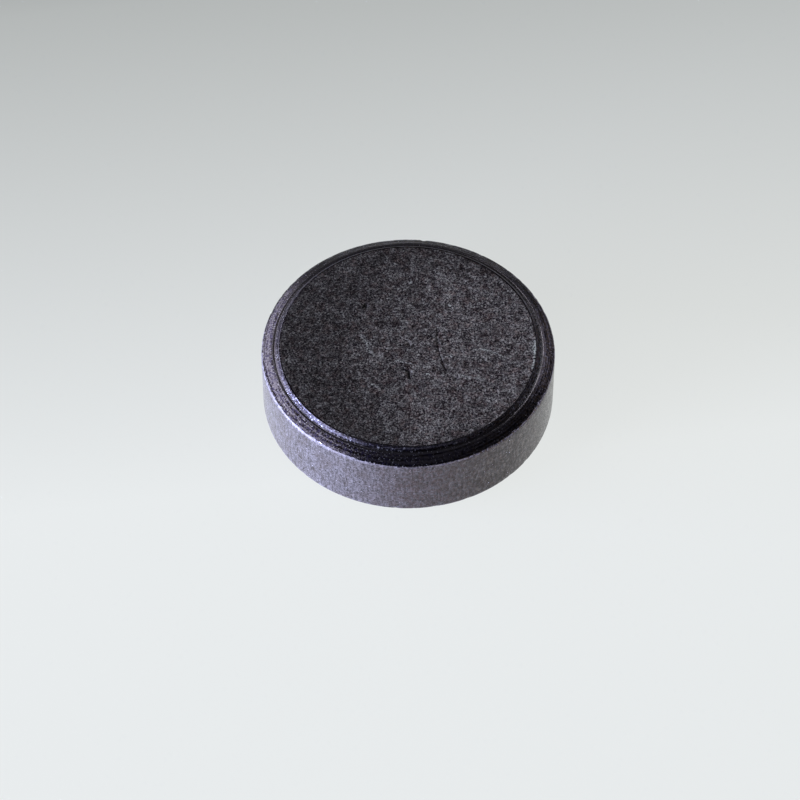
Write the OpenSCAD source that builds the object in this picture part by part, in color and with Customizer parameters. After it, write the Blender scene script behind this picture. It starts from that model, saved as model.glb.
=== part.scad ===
// Disc magnet, pressed and sintered in one piece.
// Millimetres, +Z up. The origin is the centre of the lower pole face.
// The powder is pressed in a round die between two stepped punches. Each pole face
// ends in a sloping shoulder with a shallow groove at its foot, and a bevel runs from
// the groove's outer lip to the side wall.

/* [Disc] */
// Outer diameter, across the straight side wall
disc_d = 16; // [6:0.5:60]
// Overall thickness, from pole face to pole face
disc_t = 4.7; // [2:0.1:30]

/* [Pressed rim, the same round both faces] */
// Radial width of the bevel
bevel_w = 0.62; // [0.2:0.01:1.5]
// Height of the bevel
bevel_h = 0.32; // [0.1:0.01:0.7]
// Radial width of the rise from the bottom of the groove to its lip
groove_w = 0.1; // [0.05:0.01:0.4]
// Height of the lip above the bottom of the groove
groove_h = 0.04; // [0.02:0.01:0.09]
// Radial width of the shoulder, which slopes so that the punch lets go
shoulder_w = 0.24; // [0.05:0.01:0.6]
// Height of the shoulder, from the bottom of the groove to the pole face
shoulder_h = 0.2; // [0.1:0.01:0.4]

/* [Rounded edges] */
// Radius of the edge between the side wall and the bevel
wall_edge_r = 0.2; // [0.01:0.01:0.3]
// Radius of the lip between the bevel and the groove
lip_edge_r = 0.05; // [0.01:0.01:0.1]
// Radius in the bottom of the groove
groove_root_r = 0.04; // [0.01:0.01:0.1]
// Radius of the edge of the pole face
face_edge_r = 0.1; // [0.01:0.01:0.2]

/* [Hidden] */

// Distances from the axis
disc_r = disc_d / 2;
lip_r = disc_r - bevel_w;
groove_r = lip_r - groove_w;
face_r = groove_r - shoulder_w;

// Heights above the lower pole face
groove_z = disc_t - shoulder_h;
lip_z = groove_z + groove_h;
wall_top_z = lip_z - bevel_h;

// A rounding takes at most this share of the shorter side next to its corner
corner_share = 0.45;
// Straight steps in the arc of one rounded edge, and round the whole disc
edge_steps = 6;
disc_steps = 180;
body_colour = "#3a373b";

// The corners of the upper rim in the half-section, from the pole face to the wall.
// Each is [[distance from the axis, height], radius of its rounding].
upper_rim = [
    [[face_r, disc_t], face_edge_r],
    [[groove_r, groove_z], groove_root_r],
    [[lip_r, lip_z], lip_edge_r],
    [[disc_r, wall_top_z], wall_edge_r]
];
// The lower rim is its mirror image across the middle of the disc
lower_rim = [
    for (i = [len(upper_rim) - 1:-1:0])
        [[upper_rim[i][0][0], disc_t - upper_rim[i][0][1]], upper_rim[i][1]]
];
axis_top = [[0, disc_t], 0];
axis_bottom = [[0, 0], 0];
corners = concat([axis_top], upper_rim, lower_rim, [axis_bottom]);

function unit(v) = v / norm(v);
function spun(v, angle) = [
    v[0] * cos(angle) - v[1] * sin(angle),
    v[0] * sin(angle) + v[1] * cos(angle)
];

// The arc that replaces a corner and touches both its sides.
// Where a side is short, the radius comes down to what the side has room for.
function rounded(before, here, after, radius) =
    let (
        back = unit(before - here),
        ahead = unit(after - here),
        half_angle = acos(back * ahead) / 2,
        shorter_side = min(norm(before - here), norm(after - here)),
        fitted = min(radius, corner_share * shorter_side * tan(half_angle)),
        centre = here + unit(back + ahead) * fitted / sin(half_angle),
        spoke = here + back * fitted / tan(half_angle) - centre,
        sweep = sign(cross(-back, ahead)) * (180 - 2 * half_angle)
    )
    [for (k = [0:edge_steps]) centre + spun(spoke, sweep * k / edge_steps)];

half_section = [
    axis_top[0],
    for (i = [1:len(corners) - 2])
        each rounded(corners[i - 1][0], corners[i][0], corners[i + 1][0], corners[i][1]),
    axis_bottom[0]
];

module magnet_body() {
    color(body_colour)
        rotate_extrude($fn = disc_steps)
            polygon(half_section);
}

magnet_body();
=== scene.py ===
# %% [markdown]
# # A pressed and sintered disc magnet
#
# A hard ferrite magnet starts as black powder. It is pressed in a round steel die between two
# punches, sintered until it shrinks into a ceramic, and left as it is. So one small disc has three
# finishes: matt and grainy pole faces, a dark rim that the punch has burnished, and a side wall
# with upright streaks where the disc slid out of the die. This lesson builds that disc in Blender
# round its exact CAD solid, which gives the place and the size.

# %% Load the frame
import math
from collections import Counter

import bpy
from mathutils import Matrix, Vector


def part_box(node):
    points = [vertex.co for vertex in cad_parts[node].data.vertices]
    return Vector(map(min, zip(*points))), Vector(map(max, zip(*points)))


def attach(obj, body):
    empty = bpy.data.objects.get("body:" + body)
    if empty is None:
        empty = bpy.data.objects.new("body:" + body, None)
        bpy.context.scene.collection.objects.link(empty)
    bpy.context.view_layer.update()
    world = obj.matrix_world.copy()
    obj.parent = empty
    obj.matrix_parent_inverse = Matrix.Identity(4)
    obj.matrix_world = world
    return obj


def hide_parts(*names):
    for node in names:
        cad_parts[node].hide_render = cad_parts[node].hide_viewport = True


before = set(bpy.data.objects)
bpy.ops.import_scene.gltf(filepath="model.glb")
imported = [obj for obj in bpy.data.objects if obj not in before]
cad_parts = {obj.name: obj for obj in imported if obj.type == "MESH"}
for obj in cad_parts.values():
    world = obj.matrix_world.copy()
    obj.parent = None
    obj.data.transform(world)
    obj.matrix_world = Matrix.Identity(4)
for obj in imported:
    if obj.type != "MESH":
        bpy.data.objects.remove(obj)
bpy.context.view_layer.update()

low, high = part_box("magnet_body")
print("CAD disc, lowest and highest corner in mm:", [round(v * 1000, 3) for v in (*low, *high)])

# %% [markdown]
# ## Sizes
#
# Blender works in metres here, so sizes are written in millimetres and multiplied by `MM`. The
# diameter and the thickness come from the CAD box. The rim's own sizes are those of the press
# tool: a shoulder down from the pole face, a shallow groove at its foot, and a bevel to the wall.

# %% Sizes of the disc and of its pressed rim
MM = 0.001
# The box of a faceted round is a hair too narrow, so the radius is rounded to a hundredth of a mm
disc_r = round((high.x - low.x) / 2, 5)
disc_t = high.z - low.z
bevel_w = 0.62 * MM
bevel_h = 0.32 * MM
groove_w = 0.10 * MM
groove_h = 0.04 * MM
shoulder_w = 0.24 * MM
shoulder_h = 0.20 * MM
wall_edge_r = 0.2 * MM
lip_edge_r = 0.05 * MM
groove_root_r = 0.04 * MM
face_edge_r = 0.1 * MM
# Outermost ring of the flat face, which the punch's edge has burnished like the rim
burnished_w = 0.09 * MM

lip_r = disc_r - bevel_w
groove_r = lip_r - groove_w
face_r = groove_r - shoulder_w
groove_z = disc_t - shoulder_h
lip_z = groove_z + groove_h
wall_top_z = lip_z - bevel_h
print(f"disc {disc_r * 2 / MM:.2f} x {disc_t / MM:.2f} mm, pole face {face_r * 2 / MM:.2f} mm across")

# %% [markdown]
# ## Two small helpers
#
# Colours are easiest to choose as sRGB hex values, as a paint program shows them, but Blender's
# sockets take linear light. One function turns one into the other. A second one adds a node to any
# tree, shader or geometry, with its settings and its links, so that each node takes one call. The
# kinds and settings that many nodes share get short names, so that a chain of nodes reads like a
# sum.

# %% Helpers for colours and nodes
def linear(hex_colour):
    """An sRGB hex colour as linear red, green, blue and alpha."""
    channels = [int(hex_colour[i:i + 2], 16) / 255 for i in (1, 3, 5)]
    return [c / 12.92 if c <= 0.04045 else ((c + 0.055) / 1.055) ** 2.4 for c in channels] + [1.0]


def add(tree, kind, settings=None, inputs=None):
    """Adds a node. An input is a value, another node for its first output, or one output."""
    node = tree.nodes.new(kind)
    for name, value in (settings or {}).items():
        setattr(node, name, value)
    for socket, value in (inputs or {}).items():
        if isinstance(value, bpy.types.Node):
            value = value.outputs[0]
        if isinstance(value, bpy.types.NodeSocket):
            tree.links.new(value, node.inputs[socket])
        else:
            node.inputs[socket].default_value = value
    return node


MATH = "ShaderNodeMath"
VECTOR_MATH = "ShaderNodeVectorMath"
MAP_RANGE = "ShaderNodeMapRange"
MIX = "ShaderNodeMix"
NOISE = "ShaderNodeTexNoise"
PLUS = {"operation": "ADD"}
MINUS = {"operation": "SUBTRACT"}
TIMES = {"operation": "MULTIPLY"}
TIMES_PLUS = {"operation": "MULTIPLY_ADD"}
SIZE_OF = {"operation": "ABSOLUTE"}
SCALED = {"operation": "SCALE"}
DOT = {"operation": "DOT_PRODUCT"}
DISTANCE = {"operation": "DISTANCE"}
SMOOTH = {"interpolation_type": "SMOOTHSTEP"}
COLOURS = {"data_type": "RGBA"}
TINT = {"data_type": "RGBA", "blend_type": "MULTIPLY"}
print("dark grey in linear light:", [round(c, 4) for c in linear("#3a373b")])

# %% [markdown]
# ## The rim's section
#
# The rim is a line swept round the axis, so first comes the line: from the edge of the upper pole
# face, down the shoulder, through the groove, over the bevel's lip, down the wall, and back in
# below. Pressed corners are never quite sharp. Each one becomes a small arc that touches both its
# sides, which gives the thin bright line of light that runs along such an edge. The straight
# stretches are cut into short pieces too, so that the surface marks have points to move.

# %% Points of the rim's section
CORNER_SHARE = 0.45
ARC_STEPS = 4
FINE_STEP = 0.058 * MM
WALL_STEP = 0.15 * MM
# A stretch counts as the wall if it is upright and longer than this
WALL_LENGTH = 1 * MM
UPRIGHT_TOLERANCE = 1e-6

upper_rim = [
    (Vector((face_r, disc_t)), face_edge_r),
    (Vector((groove_r, groove_z)), groove_root_r),
    (Vector((lip_r, lip_z)), lip_edge_r),
    (Vector((disc_r, wall_top_z)), wall_edge_r),
]
lower_rim = [(Vector((p.x, disc_t - p.y)), r) for p, r in reversed(upper_rim)]
corners = [(Vector((0, disc_t)), 0)] + upper_rim + lower_rim + [(Vector((0, 0)), 0)]


def rounded(before, here, after, radius):
    """The points of the arc that replaces a corner and touches both its sides."""
    back = (before - here).normalized()
    ahead = (after - here).normalized()
    half_angle = back.angle(ahead) / 2
    shorter_side = min((before - here).length, (after - here).length)
    fitted = min(radius, CORNER_SHARE * shorter_side * math.tan(half_angle))
    centre = here + (back + ahead).normalized() * (fitted / math.sin(half_angle))
    spoke = here + back * (fitted / math.tan(half_angle)) - centre
    turn = -back.x * ahead.y + back.y * ahead.x
    sweep = math.copysign(math.pi - 2 * half_angle, turn)
    return [centre + Matrix.Rotation(sweep * k / ARC_STEPS, 2) @ spoke for k in range(ARC_STEPS + 1)]


grain_r = face_r - burnished_w
section = [Vector((grain_r, disc_t))]
for (before, _), (here, radius), (after, _) in zip(corners, corners[1:], corners[2:]):
    arc = rounded(before, here, after, radius)
    gap = arc[0] - section[-1]
    on_the_wall = abs(gap.x) < UPRIGHT_TOLERANCE and gap.length > WALL_LENGTH
    pieces = max(1, round(gap.length / (WALL_STEP if on_the_wall else FINE_STEP)))
    section += [section[-1] + gap * (k / pieces) for k in range(1, pieces)]
    section += arc
section.append(Vector((grain_r, 0)))

section_mesh = bpy.data.meshes.new("rim_section")
section_mesh.from_pydata(
    [(p.x, 0, p.y) for p in section],
    [(k, k + 1) for k in range(len(section) - 1)],
    [],
)
section_object = bpy.data.objects.new("rim_section", section_mesh)
print(f"the rim's section has {len(section)} points; the grainy face is {grain_r * 2 / MM:.2f} mm across")

# %% [markdown]
# ## Materials
#
# Sintered hard ferrite is opaque and black, with a refractive index of about 2.5. Nearly all the
# light that it sends back is mirrored at its surface, a little under a fifth of what falls on it.
# So the faces and the rim are shaded as a dark metal and the duller wall as half a metal, which
# gives the lustre of haematite. What differs between the finishes is how rough they are and
# which way their marks run.
#
# All patterns read Object coordinates, turned into millimetres first, so that a noise scale is
# simply one over the size of the mark.

# %% Shared start and end of each material
def ferrite(name):
    """A new material, its empty tree, and Object coordinates in millimetres."""
    material = bpy.data.materials.new(name)
    material.use_nodes = True
    tree = material.node_tree
    tree.nodes.clear()
    place = add(tree, "ShaderNodeTexCoord").outputs["Object"]
    place_mm = add(tree, VECTOR_MATH, SCALED, {0: place, "Scale": 1 / MM})
    return material, tree, place_mm


def finish_ferrite(tree, colour, roughness, metallic, relief, relief_mm):
    """Joins colour, roughness and relief into the shader and the material's output."""
    bump = add(tree, "ShaderNodeBump", None, {
        "Height": relief, "Strength": 1.0, "Distance": relief_mm * MM,
    })
    shader = add(tree, "ShaderNodeBsdfPrincipled", None, {
        "Base Color": colour, "Roughness": roughness, "Normal": bump, "Metallic": metallic,
    })
    add(tree, "ShaderNodeOutputMaterial", None, {"Surface": shader})


print("millimetres in a metre, for the patterns:", 1 / MM)

# %% [markdown]
# ### Marks that lie in one place
#
# Wear comes as single marks: a pore where the press left a gap, a scratch from a tool, a pale hair
# where the grain was scraped. Each is a short stroke from one point to another. A small
# node group gives its mask: one on the line, falling to nothing at its half width. A pore is a
# stroke whose ends are nearly the same point.

# %% Stroke group
stroke = bpy.data.node_groups.new("stroke", "ShaderNodeTree")
for name, kind in (
    ("Place", "NodeSocketVector"),
    ("Start", "NodeSocketVector"),
    ("End", "NodeSocketVector"),
    ("Half Width", "NodeSocketFloat"),
    ("Strength", "NodeSocketFloat"),
):
    stroke.interface.new_socket(name, in_out="INPUT", socket_type=kind)
stroke.interface.new_socket("Mask", in_out="OUTPUT", socket_type="NodeSocketFloat")
asked = add(stroke, "NodeGroupInput").outputs
from_start = add(stroke, VECTOR_MATH, MINUS, {0: asked["Place"], 1: asked["Start"]})
run = add(stroke, VECTOR_MATH, MINUS, {0: asked["End"], 1: asked["Start"]})
along = add(stroke, VECTOR_MATH, DOT, {0: from_start, 1: run})
square = add(stroke, VECTOR_MATH, DOT, {0: run, 1: run})
# Keeps the division safe if both ends are one point
TINY = 1e-6
never_zero = add(stroke, MATH, {"operation": "MAXIMUM"}, {0: square.outputs["Value"], 1: TINY})
share = add(stroke, MATH, {"operation": "DIVIDE", "use_clamp": True}, {
    0: along.outputs["Value"], 1: never_zero,
})
nearest = add(stroke, VECTOR_MATH, SCALED, {0: run, "Scale": share})
gap = add(stroke, VECTOR_MATH, DISTANCE, {0: from_start, 1: nearest})
mask = add(stroke, MAP_RANGE, SMOOTH, {
    "Value": gap.outputs["Value"], "From Min": asked["Half Width"], "From Max": 0.0,
    "To Max": asked["Strength"],
})
add(stroke, "NodeGroupOutput", None, {"Mask": mask})
print("inputs of the stroke group:", [s.name for s in asked if s.name])

# %% [markdown]
# The upper face carries two pores and a few specks, one long dark scratch, and pale hairs and
# sparks where grains have broken open. The dark marks are holes, and their near-black colour is
# painted shade. The last two pale marks, along the face's right edge, are painted glints of its
# rounded edge. A strength over one makes a stroke's core wider.

# %% Marks on the upper pole face
# Each mark: start x and y, end x and y and half width in mm, then its strength
DARK_MARKS = [
    (-2.37, 2.74, -2.30, 2.72, 0.17, 1.0),
    (-0.04, 0.03, 0.02, 0.06, 0.13, 0.9),
    (-0.10, -1.78, 0.05, -1.95, 0.15, 1.0),
    (0.05, -1.95, 0.12, -2.36, 0.13, 1.0),
    (-0.30, -1.72, -0.12, -1.75, 0.13, 0.9),
    (1.57, 1.16, 1.65, -0.38, 0.08, 0.55),
    (1.65, -0.38, 1.84, -1.15, 0.08, 0.7),
    (1.84, -1.15, 2.08, -1.88, 0.09, 0.65),
    (4.62, -3.00, 4.66, -3.02, 0.12, 0.9),
    (2.53, -2.32, 2.62, -2.34, 0.15, 0.8),
    (3.05, 0.85, 3.10, 0.86, 0.12, 0.7),
    (-4.10, 0.70, -4.02, 0.66, 0.11, 0.7),
    (-2.95, -3.95, -2.80, -4.02, 0.14, 0.7),
    (0.55, -2.85, 0.62, -3.02, 0.10, 0.7),
]
PALE_MARKS = [
    (3.55, -0.35, 3.95, -0.31, 0.09, 0.8),
    (3.95, -0.31, 4.49, -0.44, 0.11, 1.2),
    (4.49, -0.44, 5.10, -0.80, 0.10, 0.7),
    (-2.56, 0.60, -2.30, 0.20, 0.20, 0.45),
    (-2.24, 0.05, -2.16, -0.06, 0.24, 0.5),
    (-2.16, -0.38, -1.90, -0.72, 0.20, 0.45),
    (-0.70, -1.12, 0.20, -1.34, 0.07, 0.7),
    (0.20, -1.34, 1.02, -1.64, 0.07, 0.7),
    (1.02, -2.05, 1.12, -2.06, 0.09, 3.0),
    (2.24, 2.80, 2.28, 2.78, 0.10, 4.0),
    (2.32, -0.80, 2.36, -0.81, 0.08, 3.0),
    (2.90, -2.15, 4.10, -2.45, 0.10, 0.6),
    (-1.90, -2.75, -1.55, -3.05, 0.10, 0.6),
    (0.10, 4.60, 0.15, 4.25, 0.12, 0.7),
    # The next two marks are painted glints along the rounded edge of the face, not scrapes
    (6.88, 0.25, 6.88, -0.65, 0.13, 2.0),
    (6.85, -0.90, 6.74, -1.60, 0.11, 2.0),
]


def marks(tree, place, strokes, height):
    """The strongest mask of several strokes that lie at one height."""
    strongest = None
    for x0, y0, x1, y1, half_width, strength in strokes:
        one = add(tree, "ShaderNodeGroup", {"node_tree": stroke}, {
            "Place": place, "Start": (x0, y0, height), "End": (x1, y1, height),
            "Half Width": half_width, "Strength": strength,
        })
        if strongest is None:
            strongest = one
        else:
            strongest = add(tree, MATH, {"operation": "MAXIMUM"}, {0: strongest, 1: one})
    return strongest


print(f"{len(DARK_MARKS)} dark and {len(PALE_MARKS)} pale marks on the upper face")

# %% [markdown]
# ### Pole face: as pressed, matt and grainy
#
# The face shows the powder's grain, about a tenth of a millimetre as pressed and sintered, over
# wider patches where the powder packed unevenly. Their sum sets the colour through a ramp, and it
# is the relief as well, so that light from the side picks the grains out. The real face has still
# finer pores, which would only flicker at this size, so the grain stops at about 0.05 mm.

# %% Grain of the pole face
GRAIN_MM = 0.10
PATCH_MM = 0.42
PATCH_SHARE = 0.30
face_material, tree, place = ferrite("sintered_ferrite_matt_pole_face")
grain = add(tree, NOISE, None, {
    "Vector": place, "Scale": 1 / GRAIN_MM, "Detail": 2.0, "Roughness": 0.8, "Distortion": 0.9,
})
patches = add(tree, NOISE, None, {
    "Vector": place, "Scale": 1 / PATCH_MM, "Detail": 2.0, "Roughness": 0.6, "Distortion": 0.8,
})
powder = add(tree, MATH, TIMES_PLUS, {0: patches, 1: PATCH_SHARE, 2: grain})
tone = add(tree, MAP_RANGE, None, {"Value": powder, "From Min": 0.457, "From Max": 0.835})
ramp = add(tree, "ShaderNodeValToRGB", None, {0: tone})
stops = ramp.color_ramp.elements
stops[0].color = linear("#171213")
stops[1].color = linear("#d8d5d0")
for position, colour in ((0.25, "#302929"), (0.48, "#5a5453"), (0.72, "#95908d")):
    stops.new(position).color = linear(colour)
print("stops in the ramp of the pole face:", len(stops))

# %% [markdown]
# The face is palest in the middle and on the right, and darkest towards its left edge. One sum
# says how pale a place is: how far it lies to the right, less a share of its squared distance from
# the axis, plus wide clouds that make the border waver. A second noise tints some grains brown,
# because ferrite is mostly iron oxide.

# %% Paler and brown parts of the pole face
CLOUD_MM = 3.2
CLOUD_SWAY = 9.0
EDGE_LOSS = 0.10
PALER_DIRECTION = (0.98, -0.15, 0.0)
FACE_HUE_MM = 0.35
clouds = add(tree, NOISE, None, {
    "Vector": place, "Scale": 1 / CLOUD_MM, "Detail": 2.0, "Roughness": 0.5,
})
flat_place = add(tree, VECTOR_MATH, TIMES, {0: place, 1: (1.0, 1.0, 0.0)})
outwards = add(tree, VECTOR_MATH, DOT, {0: flat_place, 1: flat_place})
paler_side = add(tree, VECTOR_MATH, DOT, {0: place, 1: PALER_DIRECTION})
paler_middle = add(tree, MATH, TIMES_PLUS, {
    0: outwards.outputs["Value"], 1: -EDGE_LOSS, 2: paler_side.outputs["Value"],
})
wavering = add(tree, MATH, TIMES_PLUS, {0: clouds, 1: CLOUD_SWAY, 2: paler_middle})
paleness = add(tree, MAP_RANGE, SMOOTH, {
    "Value": wavering, "From Min": -2.5, "From Max": 7.0, "To Min": 0.52, "To Max": 1.10,
})
toned = add(tree, VECTOR_MATH, SCALED, {0: ramp, "Scale": paleness})
hues = add(tree, NOISE, None, {
    "Vector": place, "Scale": 1 / FACE_HUE_MM, "Detail": 3.0, "Roughness": 0.7,
})
brown_share = add(tree, MAP_RANGE, None, {
    "Value": hues, "From Min": 0.47, "From Max": 0.66, "To Max": 0.6,
})
browned = add(tree, MIX, TINT, {0: brown_share, 6: toned, 7: linear("#c6a09a")})
print(f"clouds of {CLOUD_MM} mm over the face, brown spots of {FACE_HUE_MM} mm")

# %% [markdown]
# The single marks lie over all that. A noise moves the place that they read by up to a seventh of
# a millimetre each way, so that their outlines fray. Dark ones are holes, so they go into the
# relief too, and their near-black colour is painted shade inside them. Pale ones only show on the
# grains, because a scrape bares the tops and leaves the gaps; the two along the right edge are
# painted glints.

# %% Marks and finish of the pole face
# Waves in a millimetre
WANDER_SCALE = 3.5
WANDER_MM = 0.28
FACE_ROUGHNESS = 0.66
FACE_RELIEF_MM = 0.028
wander = add(tree, NOISE, None, {
    "Vector": place, "Scale": WANDER_SCALE, "Detail": 3.0, "Roughness": 0.75,
})
offset = add(tree, VECTOR_MATH, TIMES_PLUS, {
    0: wander.outputs[1], 1: (WANDER_MM, WANDER_MM, 0.0), 2: place,
})
settled = add(tree, VECTOR_MATH, MINUS, {0: offset, 1: (WANDER_MM / 2, WANDER_MM / 2, 0.0)})
dark = marks(tree, settled, DARK_MARKS, disc_t / MM)
pale = marks(tree, settled, PALE_MARKS, disc_t / MM)
pale_share = add(tree, MAP_RANGE, None, {
    "Value": grain, "From Min": 0.45, "From Max": 0.54, "To Max": 0.95,
})
pale_grains = add(tree, MATH, {**TIMES, "use_clamp": True}, {0: pale, 1: pale_share})
scraped = add(tree, MIX, COLOURS, {
    0: pale_grains, 6: browned.outputs[2], 7: linear("#e8e9e4"),
})
# Painted shade: the dark marks are near black for the shade inside the pores and the scratch
pores_painted_dark = add(tree, MIX, COLOURS, {0: dark, 6: scraped.outputs[2], 7: linear("#080709")})
relief = add(tree, MATH, MINUS, {0: powder, 1: dark})
finish_ferrite(tree, pores_painted_dark.outputs[2], FACE_ROUGHNESS, 1.0, relief, FACE_RELIEF_MM)
print("material:", face_material.name)

# %% [markdown]
# ### Rim: burnished by the punch
#
# The shoulder, the groove and the bevel are copied from the turned rings of the punch, so fine
# broken rings run round the disc, over the powder's own crumbs. To stretch a noise round the
# axis, its vector is the direction from the axis, scaled low, with the distance from the axis
# scaled high.

# %% Rings and crumbs of the rim
RING_MM = 0.07
RING_LENGTH_MM = 5.0
CRUMB_MM = 0.11
MARK_WEIGHT = 1.4
rim_material, tree, place = ferrite("ferrite_rim_burnished_by_the_punch")
rim_xyz = add(tree, "ShaderNodeSeparateXYZ", None, {0: place}).outputs
flat = add(tree, "ShaderNodeCombineXYZ", None, {0: rim_xyz["X"], 1: rim_xyz["Y"]})
radius = add(tree, VECTOR_MATH, {"operation": "LENGTH"}, {0: flat}).outputs["Value"]
heading = add(tree, VECTOR_MATH, {"operation": "NORMALIZE"}, {0: flat})
round_it = add(tree, VECTOR_MATH, SCALED, {0: heading, "Scale": disc_r / MM / RING_LENGTH_MM})
across = add(tree, MATH, TIMES, {0: radius, 1: 1 / RING_MM})
along_rings = add(tree, "ShaderNodeCombineXYZ", None, {2: across})
ring_place = add(tree, VECTOR_MATH, PLUS, {0: round_it, 1: along_rings})
rings = add(tree, NOISE, None, {
    "Vector": ring_place, "Scale": 1.0, "Detail": 1.5, "Roughness": 0.6,
})
crumbs = add(tree, NOISE, None, {
    "Vector": place, "Scale": 1 / CRUMB_MM, "Detail": 2.0, "Roughness": 0.8,
})
heavy_rings = add(tree, MATH, TIMES, {0: rings, 1: MARK_WEIGHT})
marked = add(tree, MATH, TIMES_PLUS, {0: crumbs, 1: MARK_WEIGHT, 2: heavy_rings})
marked_share = add(tree, MAP_RANGE, None, {"Value": marked, "From Min": 1.22, "From Max": 1.60})
ring_colour = add(tree, MIX, COLOURS, {
    0: marked_share, 6: linear("#161317"), 7: linear("#918ca1"),
})
print(f"rings {RING_MM} mm apart and {RING_LENGTH_MM} mm long, crumbs of {CRUMB_MM} mm")

# %% [markdown]
# The rim's hue changes round the disc: it has violet spots on the left and brown ones on the
# right. The violet is painted light, the tint of the low bluish lamp that grazes the left side.
# Both come from one noise, high for violet and low for brown.
# Inside the middle of the groove, on the shoulder, there is less violet.

# %% Violet and brown spots of the rim
HUE_MM = 0.13
LAMP_SIDE_DIRECTION = (-0.80, -0.60, 0.0)
SHOULDER_LOSS = 0.55
groove_middle_mm = (groove_r + lip_r) / 2 / MM
hues = add(tree, NOISE, None, {"Vector": place, "Scale": 1 / HUE_MM, "Detail": 1.0})
lamp_side = add(tree, VECTOR_MATH, DOT, {0: place, 1: LAMP_SIDE_DIRECTION})
on_lamp_side = add(tree, MAP_RANGE, SMOOTH, {
    "Value": lamp_side.outputs["Value"], "From Min": -1.0, "From Max": 5.0,
    "To Min": 0.15, "To Max": 0.85,
})
on_brown_side = add(tree, MATH, MINUS, {0: 1.0, 1: on_lamp_side})
on_shoulder = add(tree, MATH, {"operation": "LESS_THAN"}, {0: radius, 1: groove_middle_mm})
less_violet = add(tree, MATH, {**TIMES_PLUS, "use_clamp": True}, {
    0: on_shoulder, 1: -SHOULDER_LOSS, 2: on_lamp_side,
})
violet_spots = add(tree, MAP_RANGE, None, {"Value": hues, "From Min": 0.50, "From Max": 0.66})
violet_share = add(tree, MATH, TIMES, {0: violet_spots, 1: less_violet})
# Painted light: the violet spots on the left stand for the bluish lamp's tint
violet = add(tree, MIX, COLOURS, {
    0: violet_share, 6: ring_colour.outputs[2], 7: linear("#494366"),
})
brown_spots = add(tree, MAP_RANGE, None, {"Value": hues, "From Min": 0.56, "From Max": 0.34})
brown_share = add(tree, MATH, TIMES, {0: brown_spots, 1: on_brown_side})
browned = add(tree, MIX, COLOURS, {0: brown_share, 6: violet.outputs[2], 7: linear("#5c4f4b")})
print(f"middle of the groove: {groove_middle_mm:.2f} mm from the axis")

# %% [markdown]
# The foot of the shoulder lies in shade, so the shoulder is painted darker towards the groove,
# as painted shade. The groove is painted paler, which makes the thin pale line round the face. On
# the right a broken pale line at the shoulder's foot is a painted glint of the rounded edge there.

# %% Painted shade, a paler groove, and a painted glint at the shoulder's foot
FOOT_SHADE_START_MM = 0.08
GROOVE_PALENESS = 0.75
FOOT_INSET_MM = 0.03
foot_shade = add(tree, MAP_RANGE, SMOOTH, {
    "Value": radius, "From Min": face_r / MM + FOOT_SHADE_START_MM, "From Max": groove_r / MM,
    "To Max": 0.45,
})
shading = add(tree, MATH, TIMES, {0: foot_shade, 1: on_shoulder})
kept_share = add(tree, MATH, MINUS, {0: 1.0, 1: shading})
shoulder = add(tree, VECTOR_MATH, SCALED, {0: browned.outputs[2], "Scale": kept_share})
off_groove = add(tree, MATH, MINUS, {0: radius, 1: groove_middle_mm})
off_groove_mm = add(tree, MATH, SIZE_OF, {0: off_groove})
in_groove = add(tree, MAP_RANGE, None, {"Value": off_groove_mm, "From Min": 0.09, "From Max": 0.03})
pale_groove_share = add(tree, MATH, TIMES, {0: in_groove, 1: GROOVE_PALENESS})
pale_groove = add(tree, MIX, COLOURS, {0: pale_groove_share, 6: shoulder, 7: linear("#b0aab6")})
# Painted glint: a pale line along the shoulder's foot, on the right only
off_foot = add(tree, MATH, MINUS, {0: radius, 1: groove_r / MM - FOOT_INSET_MM})
off_foot_mm = add(tree, MATH, SIZE_OF, {0: off_foot})
at_foot = add(tree, MAP_RANGE, None, {
    "Value": off_foot_mm, "From Min": 0.08, "From Max": 0.02, "To Max": 0.18,
})
on_right = add(tree, MAP_RANGE, SMOOTH, {"Value": rim_xyz["X"], "From Min": 4.5, "From Max": 7.0})
painted_foot_glint = add(tree, MATH, TIMES, {0: at_foot, 1: on_right})
print(f"the shoulder darkens from {FOOT_SHADE_START_MM} mm outside the face's edge")

# %% [markdown]
# Where the rim stands proud it has crumbled into paler and rougher grains. A few more of them on
# the left, where the lamp grazes, are painted sparkle, and the painted glint at the shoulder's foot
# on the right joins them. The rest is smooth, and smoothest in the pale rings, but the top of the
# shoulder is rougher. On the right these pale grains are hardly metallic.

# %% Crumbled grains with painted sparkle and glint, and finish of the rim
LEFT_GAIN = 0.05
CRUMB_ROUGHNESS = 0.32
SHOULDER_TOP_MM = 0.06
METAL_LOSS = 0.7
CRUMB_RELIEF = 0.7
RIM_RELIEF_MM = 0.015
crumbs_and_glint = add(tree, MATH, PLUS, {0: crumbs, 1: painted_foot_glint})
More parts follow.
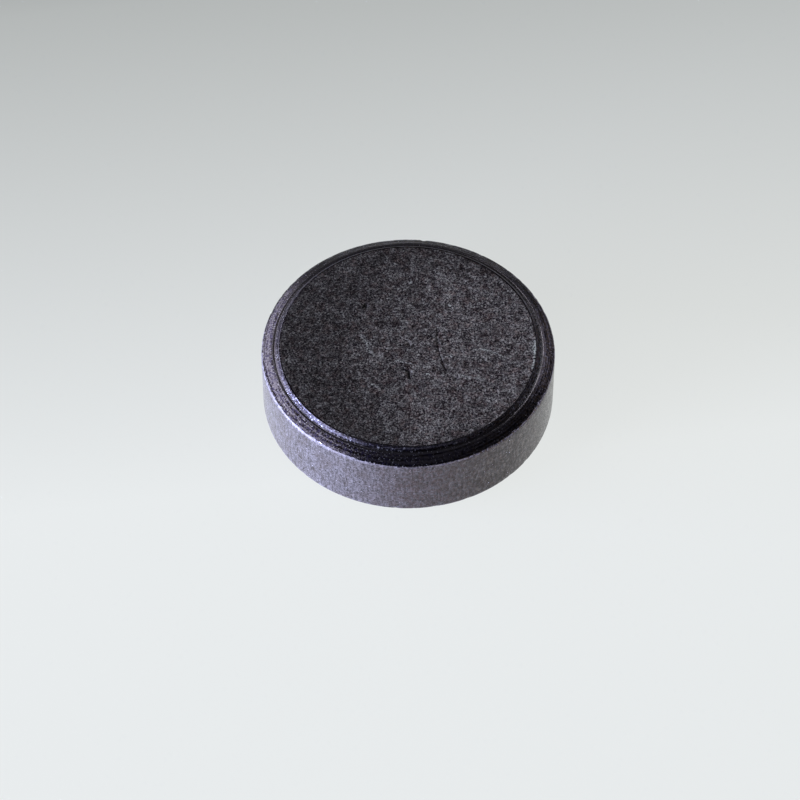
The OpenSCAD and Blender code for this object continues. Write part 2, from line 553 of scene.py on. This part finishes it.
# Painted sparkle: a few more pale crumbs on the lamp's side, the left
crumbs_glint_and_sparkle = add(tree, MATH, TIMES_PLUS, {0: on_lamp_side, 1: LEFT_GAIN, 2: crumbs_and_glint})
pale_crumbs_and_glints = add(tree, MAP_RANGE, None, {
    "Value": crumbs_glint_and_sparkle, "From Min": 0.64, "From Max": 0.76, "To Max": 0.75,
})
rim_colour = add(tree, MIX, COLOURS, {0: pale_crumbs_and_glints, 6: pale_groove.outputs[2], 7: linear("#bcbbc2")})
smooth_share = add(tree, MAP_RANGE, None, {
    "Value": marked, "From Min": 1.18, "From Max": 1.63, "To Min": 0.25, "To Max": 0.16,
})
off_shoulder = add(tree, MATH, MINUS, {0: radius, 1: face_r / MM + SHOULDER_TOP_MM})
off_shoulder_mm = add(tree, MATH, SIZE_OF, {0: off_shoulder})
rough_shoulder = add(tree, MAP_RANGE, SMOOTH, {
    "Value": off_shoulder_mm, "From Min": 0.13, "From Max": 0.03, "To Max": 0.11,
})
rough_crumbs = add(tree, MATH, TIMES_PLUS, {0: pale_crumbs_and_glints, 1: CRUMB_ROUGHNESS, 2: smooth_share})
rim_roughness = add(tree, MATH, PLUS, {0: rough_crumbs, 1: rough_shoulder})
matt_share = add(tree, MAP_RANGE, None, {"Value": crumbs_and_glint, "From Min": 0.66, "From Max": 0.76})
matt_on_right = add(tree, MATH, TIMES, {0: matt_share, 1: on_right})
rim_metallic = add(tree, MATH, TIMES_PLUS, {0: matt_on_right, 1: -METAL_LOSS, 2: 1.0})
rim_relief = add(tree, MATH, TIMES_PLUS, {0: crumbs, 1: CRUMB_RELIEF, 2: rings})
finish_ferrite(tree, rim_colour.outputs[2], rim_roughness, rim_metallic, rim_relief, RIM_RELIEF_MM)
print("material:", rim_material.name)

# %% [markdown]
# ### Side wall: drawn along the die
#
# As the disc left the die, its wall was rubbed upwards. That leaves short upright streaks about a
# tenth of a millimetre wide, over the grain of the powder, and a surface that is duller and a
# little paler than the rim. The noise is stretched along Z by scaling the height low. Wider
# patches are darker and warmer.

# %% Streaks and grain of the side wall
STREAK_MM = 0.10
STREAK_LENGTH_MM = 0.5
STREAK_SHARE = 0.55
WALL_GRAIN_MM = 0.11
WALL_PATCH_MM = 0.7
wall_material, tree, place = ferrite("ferrite_side_wall_drawn_along_the_die")
streak_place = add(tree, VECTOR_MATH, TIMES, {
    0: place, 1: (1 / STREAK_MM, 1 / STREAK_MM, 1 / STREAK_LENGTH_MM),
})
streaks = add(tree, NOISE, None, {
    "Vector": streak_place, "Scale": 1.0, "Detail": 1.5, "Roughness": 0.6,
})
wall_grain = add(tree, NOISE, None, {
    "Vector": place, "Scale": 1 / WALL_GRAIN_MM, "Detail": 1.6, "Roughness": 0.75,
})
wall_patches = add(tree, NOISE, None, {
    "Vector": place, "Scale": 1 / WALL_PATCH_MM, "Detail": 2.0, "Roughness": 0.6,
})
drawn = add(tree, MATH, TIMES_PLUS, {0: streaks, 1: STREAK_SHARE, 2: wall_grain})
wall_tone = add(tree, MAP_RANGE, None, {"Value": drawn, "From Min": 0.49, "From Max": 1.07})
wall_colour = add(tree, MIX, COLOURS, {
    0: wall_tone, 6: linear("#1b1819"), 7: linear("#89828a"),
})
warm_share = add(tree, MAP_RANGE, None, {
    "Value": wall_patches, "From Min": 0.42, "From Max": 0.68, "To Max": 0.35,
})
wall_mottled = add(tree, MIX, COLOURS, {
    0: warm_share, 6: wall_colour.outputs[2], 7: linear("#463934"),
})
print(f"streaks {STREAK_MM} mm wide and {STREAK_LENGTH_MM} mm long")

# %% [markdown]
# The wall isn't the same all round. Fine spots are rusty except on the left. The left, where the
# low lamp falls, is painted a little lighter and the right a little darker, as painted light and shade.

# %% Rusty spots, and painted light on the left side
WALL_HUE_MM = 0.18
wall_xyz = add(tree, "ShaderNodeSeparateXYZ", None, {0: place}).outputs
wall_hues = add(tree, NOISE, None, {
    "Vector": place, "Scale": 1 / WALL_HUE_MM, "Detail": 2.0, "Roughness": 0.7,
})
rusty_spots = add(tree, MAP_RANGE, None, {"Value": wall_hues, "From Min": 0.42, "From Max": 0.60})
rusty_side = add(tree, MAP_RANGE, SMOOTH, {
    "Value": wall_xyz["X"], "From Min": -4.0, "From Max": 1.5, "To Max": 0.9,
})
rusty_share = add(tree, MATH, TIMES, {0: rusty_spots, 1: rusty_side})
rusty = add(tree, MIX, TINT, {0: rusty_share, 6: wall_mottled.outputs[2], 7: linear("#dcc3bd")})
# Painted light: the wall is lighter on the left, where the lamp falls, and darker on the right
paler_side = add(tree, MAP_RANGE, SMOOTH, {
    "Value": wall_xyz["X"], "From Min": 0.5, "From Max": -4.2, "To Min": 0.90, "To Max": 1.15,
})
wall_shaded = add(tree, VECTOR_MATH, SCALED, {0: rusty.outputs[2], "Scale": paler_side})
print(f"rusty spots of {WALL_HUE_MM} mm")

# %% [markdown]
# On the right the wall is blotched with dark stains and bare pale spots between them. Both come
# from one noise, a little taller than wide, and the wall's own grain frays their outlines.

# %% Stains on the right
STAIN_MM = 0.17
STAIN_HEIGHT = 1.6
FRAY_SHARE = 0.7
stain_place = add(tree, VECTOR_MATH, TIMES, {
    0: place, 1: (1 / STAIN_MM, 1 / STAIN_MM, 1 / STAIN_MM / STAIN_HEIGHT),
})
stains = add(tree, NOISE, None, {
    "Vector": stain_place, "Scale": 1.0, "Detail": 2.0, "Roughness": 0.65,
})
frayed = add(tree, MATH, TIMES_PLUS, {0: wall_grain, 1: FRAY_SHARE, 2: stains})
stained_side = add(tree, MAP_RANGE, SMOOTH, {
    "Value": wall_xyz["X"], "From Min": 0.0, "From Max": 6.5, "To Min": 0.05, "To Max": 0.8,
})
stain_spots = add(tree, MAP_RANGE, None, {"Value": frayed, "From Min": 0.80, "From Max": 1.00})
stain_share = add(tree, MATH, TIMES, {0: stain_spots, 1: stained_side})
wall_stained = add(tree, MIX, COLOURS, {0: stain_share, 6: wall_shaded, 7: linear("#1a1413")})
bare_spots = add(tree, MAP_RANGE, None, {"Value": frayed, "From Min": 0.80, "From Max": 0.62})
bare_share = add(tree, MATH, TIMES, {0: bare_spots, 1: stained_side})
wall_bared = add(tree, MIX, COLOURS, {
    0: bare_share, 6: wall_stained.outputs[2], 7: linear("#8f8682"),
})
print(f"stains {STAIN_MM} mm wide and {STAIN_MM * STAIN_HEIGHT:.2f} mm tall")

# %% [markdown]
# The wall's upper and lower edges are rough where they have crumbled, most of all on the front
# left. There they catch the low light as a pale band.

# %% Worn edge and finish of the side wall
WALL_METALLIC = 0.6
WALL_RELIEF_MM = 0.013
EDGE_BAND_MM = 0.22
EDGE_FADE_MM = 0.12
EDGE_ROUGHNESS = 0.38
# The side whose edge has crumbled most, as a direction from the axis
WORN_DIRECTION = (-0.82, -0.57, 0.0)
smooth_wall = add(tree, MAP_RANGE, None, {
    "Value": wall_grain, "From Min": 0.3, "From Max": 0.7, "To Min": 0.10, "To Max": 0.38,
})
from_middle = add(tree, MATH, MINUS, {0: wall_xyz["Z"], 1: disc_t / 2 / MM})
above_middle = add(tree, MATH, SIZE_OF, {0: from_middle})
edge_start = (wall_top_z - disc_t / 2) / MM - EDGE_BAND_MM
broken = add(tree, MAP_RANGE, None, {
    "Value": above_middle, "From Min": edge_start, "From Max": edge_start + EDGE_FADE_MM,
    "To Max": EDGE_ROUGHNESS,
})
worn_side = add(tree, VECTOR_MATH, DOT, {0: place, 1: WORN_DIRECTION})
worn_share = add(tree, MAP_RANGE, SMOOTH, {
    "Value": worn_side.outputs["Value"], "From Min": -1.0, "From Max": 5.0, "To Min": 0.15,
})
worn_edge = add(tree, MATH, TIMES, {0: broken, 1: worn_share})
wall_roughness = add(tree, MATH, PLUS, {0: smooth_wall, 1: worn_edge})
finish_ferrite(tree, wall_bared.outputs[2], wall_roughness, WALL_METALLIC, drawn, WALL_RELIEF_MM)
print("material:", wall_material.name)

# %% [markdown]
# ## The body, by Geometry Nodes
#
# The whole disc follows a rule, so one node tree makes it. The rim is a flat grid that is rolled
# up, and each pole face is a square grid bent into a disc. The square's four sides have as many
# cells as the rim has steps round, so the pieces meet point to point and merge into one closed
# skin.

# %% Tree and its inputs
FACE_CELLS = 150
MERGE_DISTANCE = 1e-7

body_tree = bpy.data.node_groups.new("pressed_disc", "GeometryNodeTree")
body_tree.interface.new_socket("Geometry", in_out="OUTPUT", socket_type="NodeSocketGeometry")
for name, kind, value in (
    ("Rim Section", "NodeSocketObject", None),
    ("Section Points", "NodeSocketInt", 2),
    ("Cells Across Face", "NodeSocketInt", 8),
    ("Face Radius", "NodeSocketFloat", 1.0),
    ("Thickness", "NodeSocketFloat", 1.0),
):
    socket = body_tree.interface.new_socket(name, in_out="INPUT", socket_type=kind)
    if value is not None:
        socket.default_value = value
given = add(body_tree, "NodeGroupInput").outputs
print("inputs of the tree:", [s.name for s in given if s.name])

# %% [markdown]
# A turned surface is a section carried round an axis. One side of the grid, from -0.5 to 0.5,
# becomes the angle round the axis. The other side picks the place from the section's points, by
# their number.

# %% Rim: a grid rolled round the axis
steps_round = add(body_tree, MATH, TIMES, {0: given["Cells Across Face"], 1: 4.0})
points_round = add(body_tree, MATH, PLUS, {0: steps_round, 1: 1.0})
rim_grid = add(body_tree, "GeometryNodeMeshGrid", None, {
    "Size X": 1.0, "Size Y": 1.0, "Vertices X": points_round, "Vertices Y": given["Section Points"],
})
grid_place = add(body_tree, "GeometryNodeInputPosition")
grid_xyz = add(body_tree, "ShaderNodeSeparateXYZ", None, {0: grid_place}).outputs
x, y = grid_xyz["X"], grid_xyz["Y"]
angle = add(body_tree, MATH, TIMES, {0: x, 1: 2 * math.pi})
last_point = add(body_tree, MATH, MINUS, {0: given["Section Points"], 1: 1.0})
from_start = add(body_tree, MATH, PLUS, {0: y, 1: 0.5})
point_number = add(body_tree, MATH, TIMES, {0: from_start, 1: last_point})
whole_number = add(body_tree, MATH, {"operation": "ROUND"}, {0: point_number})
section_info = add(body_tree, "GeometryNodeObjectInfo", None, {"Object": given["Rim Section"]})
section_place = add(body_tree, "GeometryNodeSampleIndex", {"data_type": "FLOAT_VECTOR"}, {
    "Geometry": section_info.outputs["Geometry"], "Value": grid_place, "Index": whole_number,
})
rolled = add(body_tree, "ShaderNodeVectorRotate", {"rotation_type": "Z_AXIS"}, {
    "Vector": section_place, "Angle": angle,
})
rim = add(body_tree, "GeometryNodeSetPosition", None, {
    "Geometry": rim_grid.outputs["Mesh"], "Position": rolled,
})
print(f"rim: {4 * FACE_CELLS} steps round, {len(section)} points across")

# %% [markdown]
# Spokes from the centre would crowd there and leave the outside coarse. So the face starts as a
# square grid, and each square ring of cells is bent into a round one. The larger of x and y gives
# the distance from the axis, and the smaller one, as a share of it, gives the angle. The cells
# keep nearly the same size out to the edge.

# %% Pole faces: a square grid bent into a disc
side_points = add(body_tree, MATH, PLUS, {0: given["Cells Across Face"], 1: 1.0})
square = add(body_tree, "GeometryNodeMeshGrid", None, {
    "Size X": 2.0, "Size Y": 2.0, "Vertices X": side_points, "Vertices Y": side_points,
})
size_x = add(body_tree, MATH, SIZE_OF, {0: x})
size_y = add(body_tree, MATH, SIZE_OF, {0: y})
beside = add(body_tree, "FunctionNodeCompare", {"data_type": "FLOAT", "operation": "GREATER_EQUAL"}, {
    0: size_x, 1: size_y,
})
reach = add(body_tree, "GeometryNodeSwitch", {"input_type": "FLOAT"}, {0: beside, 1: y, 2: x})
minor = add(body_tree, "GeometryNodeSwitch", {"input_type": "FLOAT"}, {0: beside, 1: x, 2: y})
ratio = add(body_tree, MATH, {"operation": "DIVIDE"}, {0: minor, 1: reach})
turn_beside = add(body_tree, MATH, TIMES, {0: ratio, 1: math.pi / 4})
turn_above = add(body_tree, MATH, TIMES_PLUS, {0: ratio, 1: -math.pi / 4, 2: math.pi / 2})
turn = add(body_tree, "GeometryNodeSwitch", {"input_type": "FLOAT"}, {
    0: beside, 1: turn_above, 2: turn_beside,
})
distance = add(body_tree, MATH, TIMES, {0: reach, 1: given["Face Radius"]})
spoke = add(body_tree, "ShaderNodeCombineXYZ", None, {0: distance})
disc_place = add(body_tree, "ShaderNodeVectorRotate", {"rotation_type": "Z_AXIS"}, {
    "Vector": spoke, "Angle": turn,
})
lower_face = add(body_tree, "GeometryNodeSetPosition", None, {
    "Geometry": square.outputs["Mesh"], "Position": disc_place,
})
lift = add(body_tree, "ShaderNodeCombineXYZ", None, {2: given["Thickness"]})
upper_face = add(body_tree, "GeometryNodeTransform", None, {"Geometry": lower_face, "Translation": lift})
lower_turned = add(body_tree, "GeometryNodeFlipFaces", None, {0: lower_face})
rim_turned = add(body_tree, "GeometryNodeFlipFaces", None, {0: rim})
skin = add(body_tree, "GeometryNodeJoinGeometry")
for part in (rim_turned, upper_face, lower_turned):
    body_tree.links.new(part.outputs[0], skin.inputs[0])
closed = add(body_tree, "GeometryNodeMergeByDistance", None, {
    "Geometry": skin, "Distance": MERGE_DISTANCE,
})
print(f"each pole face: {FACE_CELLS} x {FACE_CELLS} cells of about {2 * grain_r / FACE_CELLS / MM:.2f} mm")

# %% [markdown]
# ### Wear in the shape
#
# Pressed ceramic is brittle. Its faces are flat to a few thousandths of a millimetre, its corners
# lose small chips, and single pores are deep enough to cast a shadow. Every mark here goes inwards
# along the normal, because wear takes material away and the disc keeps its gauge. All of them add
# up to one depth in millimetres.

# %% Unevenness and pores
UNEVEN_MM = 0.012
UNEVEN_WIDTH_MM = 1.4
# Each pore: x, y and z of its middle, its reach and its depth, all in mm
PORES = [
    (-2.34, 2.73, disc_t / MM, 0.22, 0.04),
    (0.0, 0.05, disc_t / MM, 0.20, 0.025),
    (0.02, -1.95, disc_t / MM, 0.24, 0.02),
    (2.56, -2.33, disc_t / MM, 0.22, 0.02),
    (4.64, -3.01, disc_t / MM, 0.18, 0.02),
    (7.10, -3.66, wall_top_z / MM, 0.20, 0.05),
    (0.84, 7.93, wall_top_z / MM, 0.20, 0.06),
    (-7.34, -3.19, 3.84, 0.20, 0.04),
    (6.39, -4.82, 3.89, 0.22, 0.05),
]
place_now = add(body_tree, "GeometryNodeInputPosition")
now_mm = add(body_tree, VECTOR_MATH, SCALED, {0: place_now, "Scale": 1 / MM})
uneven = add(body_tree, NOISE, None, {
    "Vector": now_mm, "Scale": 1 / UNEVEN_WIDTH_MM, "Detail": 3.0, "Roughness": 0.6,
})
depth = add(body_tree, MATH, TIMES, {0: uneven, 1: UNEVEN_MM})
for x_mm, y_mm, z_mm, reach, deep in PORES:
    how_far = add(body_tree, VECTOR_MATH, DISTANCE, {0: now_mm, 1: (x_mm, y_mm, z_mm)})
    pore = add(body_tree, MAP_RANGE, SMOOTH, {
        "Value": how_far.outputs["Value"], "From Min": reach, "From Max": 0.0, "To Max": deep,
    })
    depth = add(body_tree, MATH, PLUS, {0: depth, 1: pore})
print(f"{len(PORES)} pores, the deepest {max(pore[4] for pore in PORES)} mm")

# %% [markdown]
# The punch and the die leave the rim's edges slightly wavy. That wave dies away at the pole face
# and at the wall, which a flat punch and a ground die keep true. Chips lie only along the corner
# between bevel and wall, at both ends. Heights are measured from the middle, so that one distance
# serves both corners.

# %% Wavering rim, and chips along its corner
RIM_WAVE_MM = 0.014
RIM_WAVE_WIDTH_MM = 0.24
RIM_FADE_MM = 0.05
CHIP_MM = 0.03
CHIP_WIDTH_MM = 0.42
CHIP_REACH_MM = 0.30
now_xyz = add(body_tree, "ShaderNodeSeparateXYZ", None, {0: now_mm}).outputs
now_flat = add(body_tree, "ShaderNodeCombineXYZ", None, {0: now_xyz["X"], 1: now_xyz["Y"]})
now_radius = add(body_tree, VECTOR_MATH, {"operation": "LENGTH"}, {0: now_flat}).outputs["Value"]
off_grain = add(body_tree, MAP_RANGE, None, {
    "Value": now_radius, "From Min": grain_r / MM, "From Max": grain_r / MM + RIM_FADE_MM,
})
below_wall = add(body_tree, MAP_RANGE, None, {
    "Value": now_radius, "From Min": disc_r / MM, "From Max": disc_r / MM - RIM_FADE_MM,
})
on_rim = add(body_tree, MATH, TIMES, {0: off_grain, 1: below_wall})
wavy = add(body_tree, NOISE, None, {
    "Vector": now_mm, "Scale": 1 / RIM_WAVE_WIDTH_MM, "Detail": 1.0,
})
wave = add(body_tree, MATH, TIMES, {0: on_rim, 1: wavy})
depth = add(body_tree, MATH, TIMES_PLUS, {0: wave, 1: RIM_WAVE_MM, 2: depth})

from_middle = add(body_tree, MATH, MINUS, {0: now_xyz["Z"], 1: disc_t / 2 / MM})
above_middle = add(body_tree, MATH, SIZE_OF, {0: from_middle})
in_section = add(body_tree, "ShaderNodeCombineXYZ", None, {0: now_radius, 2: above_middle})
off_corner = add(body_tree, VECTOR_MATH, DISTANCE, {
    0: in_section, 1: (disc_r / MM, 0.0, (wall_top_z - disc_t / 2) / MM),
})
near_corner = add(body_tree, MAP_RANGE, SMOOTH, {
    "Value": off_corner.outputs["Value"], "From Min": CHIP_REACH_MM, "From Max": 0.05,
})
chipping = add(body_tree, NOISE, None, {
    "Vector": now_mm, "Scale": 1 / CHIP_WIDTH_MM, "Detail": 2.0, "Roughness": 0.6,
})
chipped = add(body_tree, MAP_RANGE, None, {
    "Value": chipping, "From Min": 0.52, "From Max": 0.75, "To Max": CHIP_MM,
})
chips = add(body_tree, MATH, TIMES, {0: chipped, 1: near_corner})
depth = add(body_tree, MATH, PLUS, {0: depth, 1: chips})
inwards = add(body_tree, MATH, TIMES, {0: depth, 1: -MM})
normal_now = add(body_tree, "GeometryNodeInputNormal")
moved = add(body_tree, VECTOR_MATH, SCALED, {0: normal_now, "Scale": inwards})
print(f"chips up to {CHIP_MM} mm deep, edges wavy by {RIM_WAVE_MM} mm")

# %% [markdown]
# ### Where each finish lies
#
# The rim's finish comes first, and the other two are laid over it. The grainy face ends a little
# inside its edge, where the punch has burnished it. The wall's finish ends at a ragged height a
# little below the corner, and on the crumbled side it reaches right up to it. The materials are
# chosen before the points move, so that the borders follow the true shape.

# %% Zones and materials
RAGGED_WIDTH_MM = 0.25
RAGGED_MM = 0.14
WALL_REACH_MM = 1.81
WORN_REACH_MM = 0.16
on_face = add(body_tree, "FunctionNodeCompare", {"data_type": "FLOAT", "operation": "LESS_THAN"}, {
    0: now_radius, 1: grain_r / MM,
})
ragged = add(body_tree, NOISE, None, {
    "Vector": now_mm, "Scale": 1 / RAGGED_WIDTH_MM, "Detail": 2.0,
})
ragged_height = add(body_tree, MATH, TIMES_PLUS, {0: ragged, 1: RAGGED_MM, 2: above_middle})
towards_worn = add(body_tree, VECTOR_MATH, DOT, {0: now_mm, 1: WORN_DIRECTION})
worn_reach = add(body_tree, MAP_RANGE, SMOOTH, {
    "Value": towards_worn.outputs["Value"], "From Min": 2.0, "From Max": 7.5, "To Max": WORN_REACH_MM,
})
wall_reach = add(body_tree, MATH, PLUS, {0: worn_reach, 1: WALL_REACH_MM})
on_wall = add(body_tree, "FunctionNodeCompare", {"data_type": "FLOAT", "operation": "LESS_THAN"}, {
    0: ragged_height, 1: wall_reach,
})
dressed = closed
for material, zone in ((rim_material, None), (face_material, on_face), (wall_material, on_wall)):
    dressed = add(body_tree, "GeometryNodeSetMaterial", None, {
        "Geometry": dressed, "Material": material, **({"Selection": zone} if zone else {}),
    })
worn = add(body_tree, "GeometryNodeSetPosition", None, {"Geometry": dressed, "Offset": moved})
smooth = add(body_tree, "GeometryNodeSetShadeSmooth", None, {"Geometry": worn, "Shade Smooth": True})
real = add(body_tree, "GeometryNodeRealizeInstances", None, {"Geometry": smooth})
add(body_tree, "NodeGroupOutput", None, {"Geometry": real})
print("nodes in the tree:", len(body_tree.nodes))

# %% [markdown]
# ### From the tree to a plain mesh
#
# A stand-in object runs the tree once, and its result is kept as a plain mesh. The skin of a solid
# has no open edge, since each edge belongs to exactly two faces, so the edges are counted. The
# last two lines say which body the disc rides on and hide the CAD part that it stands for.

# %% Run the tree and keep the result as a plain mesh
maker = bpy.data.objects.new("disc_maker", bpy.data.meshes.new("disc_maker"))
bpy.context.scene.collection.objects.link(maker)
modifier = maker.modifiers.new("pressed_disc", "NODES")
modifier.node_group = body_tree
identifier = {s.name: s.identifier for s in body_tree.interface.items_tree if s.in_out == "INPUT"}
modifier[identifier["Rim Section"]] = section_object
modifier[identifier["Section Points"]] = len(section)
modifier[identifier["Cells Across Face"]] = FACE_CELLS
modifier[identifier["Face Radius"]] = grain_r
modifier[identifier["Thickness"]] = disc_t
evaluated = maker.evaluated_get(bpy.context.evaluated_depsgraph_get())
body_mesh = bpy.data.meshes.new_from_object(evaluated)
body_mesh.name = "disc_magnet_skin"
bpy.data.objects.remove(maker)
bpy.data.objects.remove(section_object)

magnet = bpy.data.objects.new("disc_magnet_skin", body_mesh)
bpy.context.scene.collection.objects.link(magnet)
triangles = sum(len(p.vertices) - 2 for p in body_mesh.polygons)
uses = Counter(key for polygon in body_mesh.polygons for key in polygon.edge_keys)
open_edges = sum(1 for count in uses.values() if count != 2)
print(f"{magnet.name}: {len(body_mesh.vertices)} points, {triangles} triangles, {open_edges} open edges")

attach(magnet, "root")
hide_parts("magnet_body")

# %% [markdown]
# ## Floor and sweep
#
# The disc stands on a pale, plain card that curves up all round, as a studio sweep does. Low down
# in front everything is pale, and overhead it is open and dark. That is what draws the rim: the
# near bevel mirrors the dark above, and the wall mirrors the pale card.

# %% Floor that curves up into a sweep
FLOOR_R = 0.5
FLOOR_RINGS = 8
SWEEP_R = 0.35
SWEEP_ANGLE = math.radians(75)
SWEEP_STEPS = 24
ROUND_STEPS = 96
sweep_line = [(FLOOR_R * k / FLOOR_RINGS, 0.0) for k in range(1, FLOOR_RINGS + 1)]
for k in range(1, SWEEP_STEPS + 1):
    a = SWEEP_ANGLE * k / SWEEP_STEPS
    sweep_line.append((FLOOR_R + SWEEP_R * math.sin(a), SWEEP_R * (1 - math.cos(a))))
floor_points = [(0, 0, 0)]
for r, z in sweep_line:
    for k in range(ROUND_STEPS):
        a = 2 * math.pi * k / ROUND_STEPS
        floor_points.append((r * math.cos(a), r * math.sin(a), z))
floor_faces = [(0, 1 + k, 1 + (k + 1) % ROUND_STEPS) for k in range(ROUND_STEPS)]
for ring in range(len(sweep_line) - 1):
    first = 1 + ring * ROUND_STEPS
    for k in range(ROUND_STEPS):
        after = (k + 1) % ROUND_STEPS
        floor_faces.append((first + k, first + ROUND_STEPS + k, first + ROUND_STEPS + after, first + after))
floor_mesh = bpy.data.meshes.new("pale_card_sweep")
floor_mesh.from_pydata(floor_points, [], floor_faces)
floor_mesh.polygons.foreach_set("use_smooth", [True] * len(floor_mesh.polygons))
floor = bpy.data.objects.new("pale_card_sweep", floor_mesh)
bpy.context.scene.collection.objects.link(floor)
print(f"{floor.name}: {len(floor_faces)} faces, flat out to {FLOOR_R} m")

# %% [markdown]
# The card is pale where it carries the disc, and behind it its colour fades to grey: painted shade
# for the light falling off away from the lamps. What the camera and the mirroring disc see of it
# is mostly a glow of that same colour, so that its tone doesn't hang on the lamps. To all other
# light it is a matt card.

# %% Card: pale in front, with painted shade behind
FADE_START = -0.005
FADE_END = 0.095
BACK_DIRECTION = (-0.15, 1.0, 0.0)
GLOW_SHARE = 0.92
card = bpy.data.materials.new("matt_pale_card")
card.use_nodes = True
tree = card.node_tree
tree.nodes.clear()
place = add(tree, "ShaderNodeTexCoord").outputs["Object"]
backwards = add(tree, VECTOR_MATH, DOT, {0: place, 1: BACK_DIRECTION})
painted_falloff = add(tree, MAP_RANGE, None, {
    "Value": backwards.outputs["Value"], "From Min": FADE_START, "From Max": FADE_END,
})
# Painted shade: the card darkens behind the disc, as light falls off away from the lamps
shade = add(tree, "ShaderNodeValToRGB", None, {0: painted_falloff})
stops = shade.color_ramp.elements
stops[0].color = linear("#eaedec")
stops[1].color = linear("#404140")
for position, colour in ((0.38, "#b6b9b7"), (0.55, "#5a5b5a")):
    stops.new(position).color = linear(colour)
matt = add(tree, "ShaderNodeBsdfDiffuse", None, {"Color": shade})
glow = add(tree, "ShaderNodeEmission", None, {"Color": shade, "Strength": 1.0})
path = add(tree, "ShaderNodeLightPath").outputs
seen = add(tree, MATH, {"operation": "MAXIMUM"}, {
    0: path["Is Camera Ray"], 1: path["Is Glossy Ray"],
})
seen_all = add(tree, MATH, {"operation": "MAXIMUM"}, {0: seen, 1: path["Is Transmission Ray"]})
share = add(tree, MATH, TIMES, {0: seen_all, 1: GLOW_SHARE})
mixed = add(tree, "ShaderNodeMixShader", None, {0: share, 1: matt, 2: glow})
add(tree, "ShaderNodeOutputMaterial", None, {"Surface": mixed})
floor_mesh.materials.append(card)
print("material:", card.name)

# %% [markdown]
# ## Light
#
# A strong, low, bluish window on the left does most of the work: it runs along the wall, catches
# the rounded edges and picks out the grain. Two soft boxes, back left and high left, and a dim
# card at the back right fill in round it. The room itself is dim.

# %% Soft lights
LAMP_DISTANCE = 0.45
# Name, azimuth and elevation in degrees, width and height in metres, radiance of the face, colour
LAMPS = [
    ("window_left", 197, 7, 0.36, 0.09, 138.0, "#cddaff"),
    ("softbox_back_left", 142, 24, 0.46, 0.30, 1.2, "#ffffff"),
    ("softbox_high_left", 185, 48, 0.40, 0.24, 1.1, "#ffffff"),
    ("card_right", 45, 30, 0.24, 0.22, 0.42, "#ffffff"),
]
for name, azimuth, elevation, width, height, radiance, colour in LAMPS:
    lamp = bpy.data.lights.new(name, "AREA")
    lamp.shape = "RECTANGLE"
    lamp.color = linear(colour)[:3]
    lamp.size = width
    lamp.size_y = height
    lamp.energy = radiance * math.pi * width * height
    holder = bpy.data.objects.new(name, lamp)
    bpy.context.scene.collection.objects.link(holder)
    a, e = math.radians(azimuth), math.radians(elevation)
    spot = Vector((math.cos(a) * math.cos(e), math.sin(a) * math.cos(e), math.sin(e))) * LAMP_DISTANCE
    holder.matrix_world = Matrix.Translation(spot) @ spot.to_track_quat("Z", "Y").to_matrix().to_4x4()
    holder.visible_camera = False
    print(f"{name}: {lamp.energy:.2f} W")

world = bpy.data.worlds.new("dim_room")
world.use_nodes = True
room = world.node_tree.nodes["Background"].inputs
room["Color"].default_value = linear("#353535")
room["Strength"].default_value = 1.0
bpy.context.scene.world = world
bpy.context.scene.view_settings.view_transform = "Standard"

# %% [markdown]
# ## Camera
#
# A long lens looks down at the disc at a little over 50 degrees. The frame is 800 points wide,
# and the disc sits a little above its middle.

# %% Camera
FRAME_PX = 800
SENSOR_MM = 36.0
FOCAL_PX = 3450.0
VIEW_ELEVATION = math.radians(51.3)
VIEW_DISTANCE = 0.1893
DISC_X_PX = 408.0
DISC_Y_PX = 372.6
TARGET_Z = 2.25 * MM
CLIP_START = 0.01

target = Vector((0, 0, TARGET_Z))
towards = Vector((0, -math.cos(VIEW_ELEVATION), math.sin(VIEW_ELEVATION)))
right = Vector((1, 0, 0))
up = towards.cross(right)
px = VIEW_DISTANCE / FOCAL_PX
aim = target - right * (DISC_X_PX - FRAME_PX / 2) * px + up * (DISC_Y_PX - FRAME_PX / 2) * px
camera_data = bpy.data.cameras.new("camera")
camera_data.sensor_width = SENSOR_MM
camera_data.lens = SENSOR_MM * FOCAL_PX / FRAME_PX
camera_data.clip_start = CLIP_START
camera = bpy.data.objects.new("camera", camera_data)
camera.location = target + towards * VIEW_DISTANCE
camera.rotation_euler = (camera.location - aim).to_track_quat("Z", "Y").to_euler()
bpy.context.scene.collection.objects.link(camera)
bpy.context.scene.camera = camera
print(f"lens {camera_data.lens:.1f} mm at {VIEW_DISTANCE / MM:.0f} mm")
